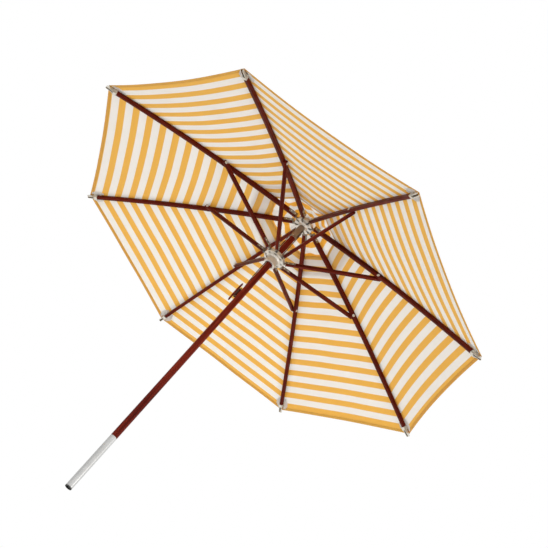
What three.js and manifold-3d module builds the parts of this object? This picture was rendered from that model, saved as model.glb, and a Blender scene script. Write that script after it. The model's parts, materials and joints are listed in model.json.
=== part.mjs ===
// A round wooden parasol with eight ribs, a hoist rope and a vented striped canopy, standing open.
// Millimetres, +Z up the pole, with the origin at the centre of the pole's bottom face.
import * as THREE from 'three';
import { mergeVertices } from 'three/addons/utils/BufferGeometryUtils.js';
import Module from 'manifold-3d';

const wasm = await Module();
wasm.setup();

const degree = Math.PI / 180;
const gap = 0.3; // between pieces that touch

// The frame's layout, seen in the plane of one rib.
const ribCount = 8;
const ribStep = 360 / ribCount;
const pinRadius = 50; // hub and runner pins stand this far from the pole's axis
const hubPinHeight = 2126;
const runnerPinHeight = 1805;
const jointRadius = 597; // where a strut is bolted to its rib
const jointHeight = (hubPinHeight + runnerPinHeight) / 2;
const jointDrop = 5; // of the joint bolt below the rib's centre line
const ribSlope = 0.3295; // fall per millimetre outwards at the joint
const ribBow = 4.79e-5; // how fast the slope grows outwards
const ribEndRadius = 1303; // the end of the rib's wood
const tipRadius = 1350; // the end of the metal tip

// Sections of the wood.
const ribWidth = 20;
const ribInnerDepth = 28;
const ribOuterDepth = 22;
const strutWidth = 18;
const strutDepth = 22;
const strutOverrun = 18; // wood past the joint bolt
const strutSide = 20.5; // a strut lies this far beside its rib's middle plane
const woodStart = 26; // wood begins this far from the pin, along the piece
const bracketLift = 10.5; // the rib's centre line passes this far above its pin

// The pole and its foot.
const poleRadius = 19;
const tubeTop = 342;
const tubeWall = 2.4;
const plugFlange = 6;
const plugDepth = 30;
const spigotLength = 80; // of the wood inside the metal tube
const poleTop = 2146;

// The hoist: a sheave in a slot through the pole's head, and a cleat below the runner.
// Its pieces are described in the Y-Z plane and then turned round the pole.
const hoistTurn = 45;
const sheaveHeight = 2047;
const ropeReach = 27; // the rope's centre line from the pole's axis
const ropeRadius = 2.5;
const sheaveRim = 28;
const sheaveThickness = 8;
const axleRadius = 4;
const sleeveRadius = 21.5;
const sleeveBottom = 1997;
const sleeveTop = 2103;
const cleatHeight = 1470;
const cleatHalfLength = 75;
const cleatWidth = 10;
const cleatBaseHalf = 28; // half the length that is screwed to the pole
const ropeWrap = 27; // the rope's turns reach this far above and below the cleat's middle

// The castings.
const hubRadius = 60;
const hubBottom = 2114;
const hubTop = 2140;
const hubBossRadius = 30;
const runnerRadius = 66;
const runnerBottom = 1792;
const runnerTop = 1816;
const runnerBore = 22;
const collarRadius = 37;
const collarBottom = 1742;
const keywayWidth = 24; // lets the runner pass the cleat and the rope wound on it
const keywayReach = 51.5;
const slotWidth = 11.2;
const hubSlotStart = 34.8; // the hub's slots reach further in than the tongues in them
const slotStart = 41.5;
const slotFloor = 1796;
const slotRoof = 2134;
const windowStart = 44.5; // the opening in the floor of each of the runner's slots
const windowEnd = 56.5;
const windowWidth = 8.4;
const pinSize = 3;
const pinHalfLength = 8.2;
const pinHole = 3.6;
const recessStart = 46; // the cored recesses beside each lug's slot, measured out from the axis
const recessEnd = 56;
const recessSide = 8.4; // from the lug's middle to the middle of a recess
const recessWidth = 3.6;
const recessDepth = 7.5;

// The finial's stem in the pole's head.
const stemRadius = 8;
const stemLength = 26;

// The canopy.
const fabricThickness = 1.6;
const fabricRise = 18; // the fabric's underside above the rib's centre line
const ventRadius = 235;
const hemRadius = 1344;
const hemBulge = 0.012; // how far the hem is cut back between two ribs, as a share
const fabricSag = 0.008;
const capRadius = 370;
const capRise = 31;
const capHole = 12;

const colours = {
  wood: 0x58180f,
  steel: 0xc9c4bb,
  castMetal: 0xd2cbc0,
  tube: 0xc4c4c4,
  plug: 0x4a4a4a,
  sleeve: 0x96826f,
  rope: 0x3a1a12,
  fabric: 0xf0b446,
};

function finish(name) {
  const metallic = ['steel', 'castMetal', 'tube', 'sleeve'].includes(name);
  return new THREE.MeshStandardMaterial({
    color: colours[name],
    roughness: metallic ? 0.35 : 0.6,
    metalness: metallic ? 1 : 0,
  });
}

function toSolid(geometry) {
  const bare = geometry.index ? geometry.clone() : geometry;
  bare.deleteAttribute('normal');
  bare.deleteAttribute('uv');
  const merged = mergeVertices(bare, 1e-3);
  return new wasm.Manifold(new wasm.Mesh({
    numProp: 3,
    vertProperties: new Float32Array(merged.attributes.position.array),
    triVerts: new Uint32Array(merged.index.array),
  }));
}

function toGeometry(solid) {
  const mesh = solid.getMesh();
  const geometry = new THREE.BufferGeometry();
  geometry.setAttribute('position', new THREE.BufferAttribute(mesh.vertProperties, 3));
  geometry.setIndex(new THREE.BufferAttribute(mesh.triVerts, 1));
  geometry.computeVertexNormals();
  return geometry;
}

// A block between two corners.
function block(low, high) {
  const size = high.map((value, i) => value - low[i]);
  const middle = high.map((value, i) => (value + low[i]) / 2);
  return new THREE.BoxGeometry(...size).translate(...middle);
}

// A round bar along Y, centred on a point.
function crossBar(radius, length, sides, x, y, z) {
  return new THREE.CylinderGeometry(radius, radius, length, sides).translate(x, y, z);
}

// A round bar along Z between two heights.
function uprightBar(radius, bottom, top, sides, x = 0, y = 0) {
  return new THREE.CylinderGeometry(radius, radius, top - bottom, sides)
    .rotateX(Math.PI / 2)
    .translate(x, y, (top + bottom) / 2);
}

// A turned piece from [radius, height] points.
function turned(points, sides) {
  return new THREE.LatheGeometry(points.map(([r, z]) => new THREE.Vector2(r, z)), sides)
    .rotateX(Math.PI / 2);
}

// A plate whose outline lies in the X-Z plane, with its thickness along Y.
function sidePlate(shape, thickness, y = 0) {
  return new THREE.ExtrudeGeometry(shape, { depth: thickness, bevelEnabled: false, curveSegments: 4 })
    .rotateX(Math.PI / 2)
    .translate(0, y + thickness / 2, 0);
}

function ribLine(radius) {
  const out = radius - jointRadius;
  return jointHeight + jointDrop - ribSlope * out - ribBow * out * out;
}

function ribTilt(radius) {
  return Math.atan(ribSlope + 2 * ribBow * (radius - jointRadius));
}

// ---- ribs

function ribGeometry() {
  const pinTilt = ribTilt(pinRadius);
  const start = pinRadius + woodStart * Math.cos(pinTilt) + bracketLift * Math.sin(pinTilt);
  const steps = 9;
  const upper = [];
  const lower = [];
  for (let i = 0; i <= steps; i += 1) {
    const share = i / steps;
    const radius = start + (ribEndRadius - start) * share;
    const half = (ribInnerDepth + (ribOuterDepth - ribInnerDepth) * share) / 2;
    const tilt = ribTilt(radius);
    const side = new THREE.Vector2(Math.sin(tilt), Math.cos(tilt)).multiplyScalar(half);
    const middle = new THREE.Vector2(radius, ribLine(radius));
    upper.push(middle.clone().add(side));
    lower.unshift(middle.clone().sub(side));
  }
  const wood = toSolid(sidePlate(new THREE.Shape([...upper, ...lower]), ribWidth));
  return toGeometry(wood.add(toSolid(jointBolt())));
}

// The bolt through rib and strut: a domed head on the rib's free side, a nut beyond the strut.
function jointBolt() {
  const head = ribWidth / 2;
  const nut = strutSide + strutWidth / 2 + gap + 1;
  const outline = [
    [0, -head - 4],
    [5, -head - 3.4],
    [8, -head - 1.5],
    [8, -head + 2],
    [3.5, -head + 2],
    [3.5, nut],
    [7.5, nut],
    [7.5, nut + 4.5],
    [0, nut + 4.5],
  ];
  return new THREE.LatheGeometry(outline.map(([r, y]) => new THREE.Vector2(r, y)), 8)
    .translate(jointRadius, 0, jointHeight);
}

// ---- the pinned steel end of a rib or a strut, in its own frame: pin at the origin, wood along +X

function bracketSolid(width, depth, lift) {
  const eye = 7;
  const tongue = 5;
  const webStart = woodStart - 4.6;
  const webEnd = woodStart - 0.4;
  const cheekEnd = woodStart + 58;
  const plate = 1.6;
  const inner = width / 2 + gap;
  const outer = inner + plate;
  const halfCheek = depth / 2 - 4;
  let solid = toSolid(crossBar(eye, 2 * tongue, 10, 0, 0, 0));
  const parts = [
    crossBar(pinSize, 2 * pinHalfLength, 6, 0, 0, 0),
    block([0, -tongue, -5.5], [webStart + 1, tongue, 5.5]),
    block([webStart, -outer, lift - depth / 2], [webEnd, outer, lift + depth / 2]),
    block([webEnd - 1, inner, lift - halfCheek], [cheekEnd, outer, lift + halfCheek]),
    block([webEnd - 1, -outer, lift - halfCheek], [cheekEnd, -inner, lift + halfCheek]),
  ];
  for (const part of parts) {
    solid = solid.add(toSolid(part));
  }
  return toGeometry(solid);
}

function ribBracketGeometry() {
  return bracketSolid(ribWidth, ribInnerDepth, bracketLift)
    .rotateY(ribTilt(pinRadius))
    .translate(pinRadius, 0, hubPinHeight);
}

// ---- rib tips: a socket on the wood's end with two prongs that hold the fabric's corner

function ribTipGeometry() {
  const grip = 16;
  const wall = 1.6;
  const tilt = ribTilt(ribEndRadius);
  const halfWidth = ribWidth / 2 + gap + wall;
  const halfDepth = ribOuterDepth / 2 + gap + wall;
  const prongEnd = (tipRadius - ribEndRadius) / Math.cos(tilt);
  let solid = toSolid(block([-grip, -halfWidth, -halfDepth], [4, halfWidth, halfDepth]));
  solid = solid.subtract(toSolid(block(
    [-grip - 1, -ribWidth / 2 - gap, -ribOuterDepth / 2 - 2 * gap],
    [gap, ribWidth / 2 + gap, ribOuterDepth / 2 + 2 * gap],
  )));
  for (const side of [-1, 1]) {
    const prong = new THREE.Shape();
    prong.moveTo(3, -9);
    prong.lineTo(prongEnd - 8, -5);
    prong.quadraticCurveTo(prongEnd, -4, prongEnd, 1);
    prong.quadraticCurveTo(prongEnd, 7, prongEnd - 7, 7);
    prong.lineTo(3, 9);
    solid = solid.add(toSolid(sidePlate(prong, 4, side * 7)));
  }
  return toGeometry(solid)
    .rotateY(tilt)
    .translate(ribEndRadius, 0, ribLine(ribEndRadius));
}

// ---- struts, along +X from the runner's pin

const strutTilt = Math.atan2(jointHeight - runnerPinHeight, jointRadius - pinRadius);
const strutLength = Math.hypot(jointHeight - runnerPinHeight, jointRadius - pinRadius);

function placeOnRunner(geometry) {
  return geometry.rotateY(-strutTilt).translate(pinRadius, strutSide, runnerPinHeight);
}

function strutGeometry() {
  const half = strutDepth / 2;
  const end = strutLength + strutOverrun;
  const outline = new THREE.Shape();
  outline.moveTo(woodStart, -half);
  outline.lineTo(end - 4, -half);
  outline.quadraticCurveTo(end, -half, end, -half + 5);
  outline.quadraticCurveTo(end, half, strutLength, half);
  outline.lineTo(woodStart, half);
  const wood = toSolid(sidePlate(outline, strutWidth));
  const hole = toSolid(crossBar(4.4, strutWidth + 4, 8, strutLength, 0, 0));
  return placeOnRunner(toGeometry(wood.subtract(hole)));
}

function strutBracketGeometry() {
  return placeOnRunner(bracketSolid(strutWidth, strutDepth, 0));
}

// ---- castings

// The same cut repeated once for each rib, turned round the pole.
function subtractRound(solid, makeCut) {
  let result = solid;
  for (let i = 0; i < ribCount; i += 1) {
    result = result.subtract(toSolid(makeCut().rotateZ(i * ribStep * degree)));
  }
  return result;
}

// A pair of cored recesses from below, one on each side of a lug whose middle is at the given side.
function subtractRecesses(solid, lugSide, underside) {
  let result = solid;
  for (const side of [-1, 1]) {
    const middle = lugSide + side * recessSide;
    result = subtractRound(result, () => block(
      [recessStart, middle - recessWidth / 2, underside - 1],
      [recessEnd, middle + recessWidth / 2, underside + recessDepth],
    ));
  }
  return result;
}

function topHubGeometry() {
  const bore = poleRadius + gap;
  let solid = toSolid(turned([
    [bore, sleeveTop + gap],
    [hubBossRadius - 4, sleeveTop + gap],
    [hubBossRadius, hubBottom - 4],
    [hubBossRadius + 4, hubBottom],
    [hubRadius - 2, hubBottom],
    [hubRadius, hubBottom + 2],
    [hubRadius, hubTop - 3],
    [hubRadius - 3, hubTop],
    [bore, hubTop],
    [bore, sleeveTop + gap],
  ], 32));
  solid = subtractRound(solid, () => block(
    [hubSlotStart, -slotWidth / 2, hubBottom - 5],
    [hubRadius + 5, slotWidth / 2, slotRoof],
  ));
  solid = subtractRound(solid, () => crossBar(
    pinHole, 2 * pinHalfLength + 0.6, 6, pinRadius, 0, hubPinHeight,
  ));
  return toGeometry(subtractRecesses(solid, 0, hubBottom));
}

function runnerGeometry() {
  const flare = 26;
  let solid = toSolid(turned([
    [runnerBore, collarBottom + 14],
    [flare, collarBottom + 10],
    [flare, collarBottom],
    [collarRadius - 2, collarBottom],
    [collarRadius, collarBottom + 2],
    [collarRadius, runnerBottom - 8],
    [collarRadius + 6, runnerBottom],
    [runnerRadius - 2, runnerBottom],
    [runnerRadius, runnerBottom + 2],
    [runnerRadius, runnerTop - 2],
    [runnerRadius - 2, runnerTop],
    [runnerBore, runnerTop],
    [runnerBore, collarBottom + 14],
  ], 32));
  solid = subtractRound(solid, () => block(
    [slotStart, strutSide - slotWidth / 2, slotFloor],
    [runnerRadius + 5, strutSide + slotWidth / 2, runnerTop + 5],
  ));
  solid = subtractRound(solid, () => crossBar(
    pinHole, 2 * pinHalfLength + 0.6, 6, pinRadius, strutSide, runnerPinHeight,
  ));
  solid = subtractRound(solid, () => block(
    [windowStart, strutSide - windowWidth / 2, runnerBottom - 1],
    [windowEnd, strutSide + windowWidth / 2, slotFloor + 1],
  ));
  solid = subtractRecesses(solid, strutSide, runnerBottom);
  const keyway = block(
    [-keywayWidth / 2, 0, collarBottom - 1],
    [keywayWidth / 2, keywayReach, runnerTop + 1],
  );
  // the blind hole that the hoist rope's end is knotted in
  const ropeHole = uprightBar(ropeRadius + 0.7, runnerTop - 16, runnerTop + 1, 8, 0, -ropeReach);
  for (const cut of [keyway, ropeHole]) {
    solid = solid.subtract(toSolid(cut.rotateZ(hoistTurn * degree)));
  }
  return toGeometry(solid);
}

// ---- pole

function footPlugGeometry() {
  const inside = poleRadius - tubeWall - gap;
  return turned([
    [0, 0],
    [poleRadius - 1.5, 0],
    [poleRadius, 1.5],
    [poleRadius, plugFlange],
    [inside, plugFlange],
    [inside, plugFlange + plugDepth],
    [0, plugFlange + plugDepth],
  ], 28);
}

function footTubeGeometry() {
  const bottom = plugFlange + gap;
  const inside = poleRadius - tubeWall;
  return turned([
    [inside, bottom],
    [poleRadius, bottom],
    [poleRadius, tubeTop],
    [inside, tubeTop],
    [inside, bottom],
  ], 28);
}

function poleWoodGeometry() {
  const inside = poleRadius - tubeWall - gap;
  const wood = toSolid(turned([
    [0, tubeTop - spigotLength],
    [inside, tubeTop - spigotLength],
    [inside, tubeTop + gap],
    [poleRadius, tubeTop + gap],
    [poleRadius, poleTop - 2],
    [poleRadius - 2, poleTop],
    [0, poleTop],
  ], 28));
  const stemHole = toSolid(uprightBar(stemRadius + 0.6, poleTop - stemLength - 4, poleTop + 1, 12));
  return toGeometry(wood.subtract(sheaveSlot()).subtract(stemHole));
}

function headSleeveGeometry() {
  const inside = poleRadius + gap;
  const tube = toSolid(turned([
    [inside, sleeveBottom],
    [sleeveRadius, sleeveBottom],
    [sleeveRadius, sleeveTop],
    [inside, sleeveTop],
    [inside, sleeveBottom],
  ], 28));
  return toGeometry(tube.subtract(sheaveSlot()));
}

// The slot for the sheave, with the holes for its axle.
function sheaveSlot() {
  const halfSlot = sheaveThickness / 2 + 1;
  const room = sheaveRim + 4;
  const slot = block(
    [-halfSlot, -sleeveRadius - 5, sheaveHeight - room],
    [halfSlot, sleeveRadius + 5, sheaveHeight + room],
  );
  const axle = crossBar(axleRadius + 0.5, 2 * sleeveRadius + 10, 12, 0, 0, sheaveHeight);
  const turn = hoistTurn * degree;
  return toSolid(slot.rotateZ(turn)).add(toSolid(axle.rotateZ(turn - Math.PI / 2)));
}

// The grooved wheel, turned in one with its axle.
function sheaveGeometry() {
  const half = sheaveThickness / 2;
  const axleHalf = sleeveRadius - 0.5;
  const grooveBottom = ropeReach - ropeRadius - 1.3;
  const outline = [
    [0, -axleHalf],
    [axleRadius, -axleHalf],
    [axleRadius, -half],
    [sheaveRim, -half],
    [sheaveRim, -half + 0.6],
    [grooveBottom, -half + 1],
    [grooveBottom, half - 1],
    [sheaveRim, half - 0.6],
    [sheaveRim, half],
    [axleRadius, half],
    [axleRadius, axleHalf],
    [0, axleHalf],
  ];
  return new THREE.LatheGeometry(outline.map(([r, y]) => new THREE.Vector2(r, y)), 24)
    .rotateZ(-Math.PI / 2)
    .translate(0, 0, sheaveHeight);
}

function cleatGeometry() {
  const base = poleRadius + 0.6;
  const outline = new THREE.Shape();
  outline.moveTo(base, -cleatBaseHalf);
  outline.quadraticCurveTo(base + 8, -22, 30, -20);
  outline.quadraticCurveTo(37, -22, 39, -34);
  outline.lineTo(42, -cleatHalfLength + 3);
  outline.quadraticCurveTo(45, -cleatHalfLength - 1, 49, -cleatHalfLength + 5);
  outline.quadraticCurveTo(51, -40, 49, 0);
  outline.quadraticCurveTo(51, 40, 49, cleatHalfLength - 5);
  outline.quadraticCurveTo(45, cleatHalfLength + 1, 42, cleatHalfLength - 3);
  outline.lineTo(39, 34);
  outline.quadraticCurveTo(37, 22, 30, 20);
  outline.quadraticCurveTo(base + 8, 22, base, cleatBaseHalf);
  return sidePlate(outline, cleatWidth).rotateZ(Math.PI / 2).translate(0, 0, cleatHeight);
}

// ---- hoist rope

function ropeSection() {
  const section = new THREE.Shape();
  const sides = 8;
  for (let i = 0; i < sides; i += 1) {
    const turn = (i / sides) * 2 * Math.PI;
    const x = ropeRadius * Math.cos(turn);
    const y = ropeRadius * Math.sin(turn);
    if (i === 0) {
      section.moveTo(x, y);
    } else {
      section.lineTo(x, y);
    }
  }
  return section;
}

function ropeAlong(curve, steps) {
  return new THREE.ExtrudeGeometry(ropeSection(), { steps, extrudePath: curve });
}

// From one side of the sheave, over the wheel, down the pole's other side and round the cleat.
function ropeFallGeometry() {
  const points = [];
  const arcSteps = 8;
  for (let i = 0; i <= arcSteps; i += 1) {
    const turn = (i / arcSteps) * Math.PI;
    const y = -ropeReach * Math.cos(turn);
    points.push(new THREE.Vector3(0, y, sheaveHeight + ropeReach * Math.sin(turn)));
  }
  points.push(
    new THREE.Vector3(0, ropeReach, 1950),
    new THREE.Vector3(0, ropeReach, 1800),
    new THREE.Vector3(0, ropeReach, 1650),
    new THREE.Vector3(2, 26, 1590),
    new THREE.Vector3(7, 24.2, 1530),
  );
  // four straight strands, down one side of the cleat and up the other, further out each time
  const aside = cleatWidth / 2 + ropeRadius + 0.5;
  const strandReach = [24, 26.9, 30.4, 33];
  strandReach.forEach((y, strand) => {
    const down = strand % 2 === 0;
    const side = down ? aside : -aside;
    const way = down ? -1 : 1;
    for (const share of [-1, 0, 1]) {
      points.push(new THREE.Vector3(side, y, cleatHeight + way * share * ropeWrap));
    }
    if (strand < strandReach.length - 1) {
      const between = (y + strandReach[strand + 1]) / 2;
      points.push(new THREE.Vector3(0, between, cleatHeight + way * (ropeWrap + 10)));
    }
  });
  const route = new THREE.CatmullRomCurve3(points, false, 'centripetal');
  return ropeAlong(route, 76);
}

// The straight length from the sheave to the runner.
function ropeLiftGeometry() {
  const top = new THREE.Vector3(0, -ropeReach, sheaveHeight - 1.5);
  const bottom = new THREE.Vector3(0, -ropeReach, runnerTop - 14);
  return ropeAlong(new THREE.LineCurve3(top, bottom), 1);
}

// ---- canopy

// A closed sheet over a grid: place(i, j, layer) gives a point, with layer 0 below and 1 above.
function sheetGeometry(rows, columns, place, closedRound = false) {
  const positions = [];
  const indices = [];
  const across = closedRound ? columns : columns + 1;
  const layerSize = (rows + 1) * across;
  const at = (i, j, layer) => layer * layerSize + i * across + (j % across);
  for (let layer = 0; layer < 2; layer += 1) {
    for (let i = 0; i <= rows; i += 1) {
      for (let j = 0; j < across; j += 1) {
        positions.push(...place(i, j, layer));
      }
    }
  }
  const quad = (a, b, c, d) => indices.push(a, b, c, a, c, d);
  for (let i = 0; i < rows; i += 1) {
    for (let j = 0; j < columns; j += 1) {
      quad(at(i, j, 1), at(i + 1, j, 1), at(i + 1, j + 1, 1), at(i, j + 1, 1));
      quad(at(i, j, 0), at(i, j + 1, 0), at(i + 1, j + 1, 0), at(i + 1, j, 0));
    }
    if (!closedRound) {
      quad(at(i, 0, 0), at(i + 1, 0, 0), at(i + 1, 0, 1), at(i, 0, 1));
      quad(at(i, columns, 0), at(i, columns, 1), at(i + 1, columns, 1), at(i + 1, columns, 0));
    }
  }
  for (let j = 0; j < columns; j += 1) {
    quad(at(0, j, 0), at(0, j, 1), at(0, j + 1, 1), at(0, j + 1, 0));
    quad(at(rows, j, 0), at(rows, j + 1, 0), at(rows, j + 1, 1), at(rows, j, 1));
  }
  const geometry = new THREE.BufferGeometry();
  geometry.setAttribute('position', new THREE.Float32BufferAttribute(positions, 3));
  geometry.setIndex(indices);
  geometry.computeVertexNormals();
  return geometry;
}

// A point of a gore: reach is the distance out along a rib, turn the angle from the nearest rib.
function gorePoint(reach, turn, rise) {
  const half = (ribStep / 2) * degree;
  const fromMiddle = Math.tan(half - Math.abs(turn)) / Math.tan(half);
  const between = 1 - fromMiddle * fromMiddle; // 0 on a rib, 1 midway between two
  const chordReach = reach * (1 - hemBulge * between);
  const radius = chordReach * Math.cos(half) / Math.cos(half - Math.abs(turn));
  const height = ribLine(chordReach) + rise - fabricSag * reach * between;
  return [radius, height];
}

function canopySectionGeometry() {
  const rows = 6;
  const columns = 6;
  const edge = (ribStep / 2) * degree;
  return sheetGeometry(rows, columns, (i, j, layer) => {
    const reach = ventRadius + (hemRadius - ventRadius) * (i / rows);
    const turn = (edge - 0.5 * gap / reach) * (2 * j / columns - 1);
    const [radius, height] = gorePoint(reach, turn, fabricRise + layer * fabricThickness);
    return [radius * Math.cos(turn), radius * Math.sin(turn), height];
  });
}

function ventCapGeometry() {
  const rows = 4;
  const perGore = 4;
  return sheetGeometry(rows, ribCount * perGore, (i, j, layer) => {
    const reach = capHole + (capRadius - capHole) * (i / rows);
    const direction = (j / perGore) * ribStep * degree;
    const turn = ((j % perGore) / perGore) * ribStep * degree;
    const fromRib = Math.min(turn, ribStep * degree - turn);
    const [radius, height] = gorePoint(reach, fromRib, capRise + layer * fabricThickness);
    return [radius * Math.cos(direction), radius * Math.sin(direction), height];
  }, true);
}

function finialGeometry() {
  const seat = ribLine(0) + capRise + fabricThickness + 2;
  return turned([
    [0, poleTop - stemLength],
    [stemRadius, poleTop - stemLength],
    [stemRadius, seat],
    [26, seat],
    [27, seat + 2],
    [25, seat + 5],
    [13, seat + 9],
    [10, seat + 14],
    [15, seat + 20],
    [19, seat + 30],
    [17, seat + 41],
    [9, seat + 50],
    [0, seat + 53],
  ], 24);
}

// ---- the parasol

const parasol = new THREE.Group();

function addPiece(parent, name, geometry, colour) {
  const mesh = new THREE.Mesh(geometry, finish(colour));
  mesh.name = name;
  parent.add(mesh);
}

addPiece(parasol, 'foot_plug', footPlugGeometry(), 'plug');
addPiece(parasol, 'foot_tube', footTubeGeometry(), 'tube');
addPiece(parasol, 'pole_wood', poleWoodGeometry(), 'wood');
addPiece(parasol, 'head_sleeve', headSleeveGeometry(), 'sleeve');
addPiece(parasol, 'top_hub', topHubGeometry(), 'castMetal');
addPiece(parasol, 'finial', finialGeometry(), 'wood');
addPiece(parasol, 'vent_cap', ventCapGeometry(), 'fabric');
addPiece(parasol, 'runner_hub', runnerGeometry(), 'castMetal');

const hoist = new THREE.Group();
hoist.rotation.z = hoistTurn * degree;
addPiece(hoist, 'sheave', sheaveGeometry(), 'steel');
addPiece(hoist, 'rope_cleat', cleatGeometry(), 'wood');
addPiece(hoist, 'hoist_rope_fall', ropeFallGeometry(), 'rope');
addPiece(hoist, 'hoist_rope_lift', ropeLiftGeometry(), 'rope');
parasol.add(hoist);

for (let i = 0; i < ribCount; i += 1) {
  const spoke = new THREE.Group();
  spoke.rotation.z = i * ribStep * degree;
  addPiece(spoke, `rib_${i + 1}`, ribGeometry(), 'wood');
  addPiece(spoke, `rib_bracket_${i + 1}`, ribBracketGeometry(), 'steel');
  addPiece(spoke, `rib_tip_${i + 1}`, ribTipGeometry(), 'steel');
  addPiece(spoke, `strut_${i + 1}`, strutGeometry(), 'wood');
  addPiece(spoke, `strut_bracket_${i + 1}`, strutBracketGeometry(), 'steel');
  addPiece(spoke, `canopy_section_${i + 1}`, canopySectionGeometry(), 'fabric');
  parasol.add(spoke);
}

export default parasol;
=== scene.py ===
import json
import math

import bpy
from mathutils import Matrix, Vector


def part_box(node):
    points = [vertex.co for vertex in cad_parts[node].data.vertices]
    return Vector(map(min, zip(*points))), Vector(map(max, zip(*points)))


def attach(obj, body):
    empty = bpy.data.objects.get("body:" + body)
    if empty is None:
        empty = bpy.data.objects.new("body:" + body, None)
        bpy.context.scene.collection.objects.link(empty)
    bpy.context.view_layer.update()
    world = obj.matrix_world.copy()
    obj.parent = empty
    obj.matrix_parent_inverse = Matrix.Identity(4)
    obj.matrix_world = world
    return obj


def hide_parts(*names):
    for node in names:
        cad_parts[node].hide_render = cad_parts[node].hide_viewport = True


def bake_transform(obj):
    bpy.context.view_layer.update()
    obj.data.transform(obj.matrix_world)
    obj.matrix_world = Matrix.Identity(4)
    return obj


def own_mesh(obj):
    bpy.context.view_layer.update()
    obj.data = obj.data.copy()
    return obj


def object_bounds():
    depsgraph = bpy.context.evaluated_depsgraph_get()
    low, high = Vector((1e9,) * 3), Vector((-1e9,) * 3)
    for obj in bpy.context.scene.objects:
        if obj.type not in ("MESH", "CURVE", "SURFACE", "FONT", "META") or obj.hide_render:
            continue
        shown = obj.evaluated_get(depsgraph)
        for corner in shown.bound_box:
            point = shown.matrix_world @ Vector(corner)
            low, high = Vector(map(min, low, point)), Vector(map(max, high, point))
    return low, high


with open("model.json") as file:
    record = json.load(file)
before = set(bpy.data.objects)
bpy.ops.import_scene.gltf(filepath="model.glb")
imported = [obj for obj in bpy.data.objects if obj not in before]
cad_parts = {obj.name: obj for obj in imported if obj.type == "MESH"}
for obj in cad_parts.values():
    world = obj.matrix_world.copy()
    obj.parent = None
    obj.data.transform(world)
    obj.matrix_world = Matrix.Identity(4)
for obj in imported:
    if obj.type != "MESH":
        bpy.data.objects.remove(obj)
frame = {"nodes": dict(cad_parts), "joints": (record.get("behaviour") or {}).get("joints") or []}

cadLow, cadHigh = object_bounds()
pivots = {joint["name"]: Vector(joint["pos_m"]) for joint in frame["joints"] if joint.get("pos_m")}
axles = {joint["name"]: joint["axis"] for joint in frame["joints"]}
hubPin = pivots["canopy_fold"]
runnerPin = pivots["runner_level"]
strutBolt = pivots["strut_1_swing"]
# the hoist is shaped in the Y-Z plane and then turned round the pole, as the sheave's axle is
hoistTurn = Matrix.Rotation(math.atan2(axles["sheave_spin"][1], axles["sheave_spin"][0]), 4, "Z")
ribCount = 8
halfGore = math.pi / ribCount
outward = Vector((1, 0, 0))
sideways = Vector((0, 1, 0))
upward = Vector((0, 0, 1))
pointed = 0.00001  # the radius at which a turned shape ends in a point

camera = {
    "place": (-1.0408, -4.5915, -1.4942),
    "turn": (132.3667, -33.2308, -40.0496),  # degrees
    "lens": 64.95,  # millimetres, like the sensor
    "sensor": 36,
    "near": 0.05,
    "far": 100,
}


def makeCamera():
    lens = bpy.data.cameras.new("umbrellaCamera")
    lens.lens = camera["lens"]
    lens.sensor_width = camera["sensor"]
    lens.clip_start = camera["near"]
    lens.clip_end = camera["far"]
    eye = bpy.data.objects.new("umbrellaCamera", lens)
    bpy.context.scene.collection.objects.link(eye)
    eye.location = camera["place"]
    eye.rotation_euler = [math.radians(angle) for angle in camera["turn"]]
    bpy.context.scene.camera = eye
    bpy.context.scene.view_settings.view_transform = "Standard"


def reckon(operation, *values):  # one Math node, on sockets and plain numbers
    finish = next(value.finish for value in values if isinstance(value, Wire))
    return finish.node("ShaderNodeMath", {"operation": operation}, dict(enumerate(values)))


class Wire:  # a shader socket that works in plain arithmetic
    def __init__(self, finish, socket):
        self.finish = finish
        self.socket = socket

    def __add__(self, other):
        return reckon("ADD", self, other)

    def __radd__(self, other):
        return reckon("ADD", other, self)

    def __sub__(self, other):
        return reckon("SUBTRACT", self, other)

    def __rsub__(self, other):
        return reckon("SUBTRACT", other, self)

    def __mul__(self, other):
        return reckon("MULTIPLY", self, other)

    def __rmul__(self, other):
        return reckon("MULTIPLY", other, self)

    def __truediv__(self, other):
        return reckon("DIVIDE", self, other)

    def __rtruediv__(self, other):
        return reckon("DIVIDE", other, self)

    def __abs__(self):
        return reckon("ABSOLUTE", self)

    def __lt__(self, other):
        return reckon("LESS_THAN", self, other)

    def __gt__(self, other):
        return reckon("GREATER_THAN", self, other)


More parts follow.
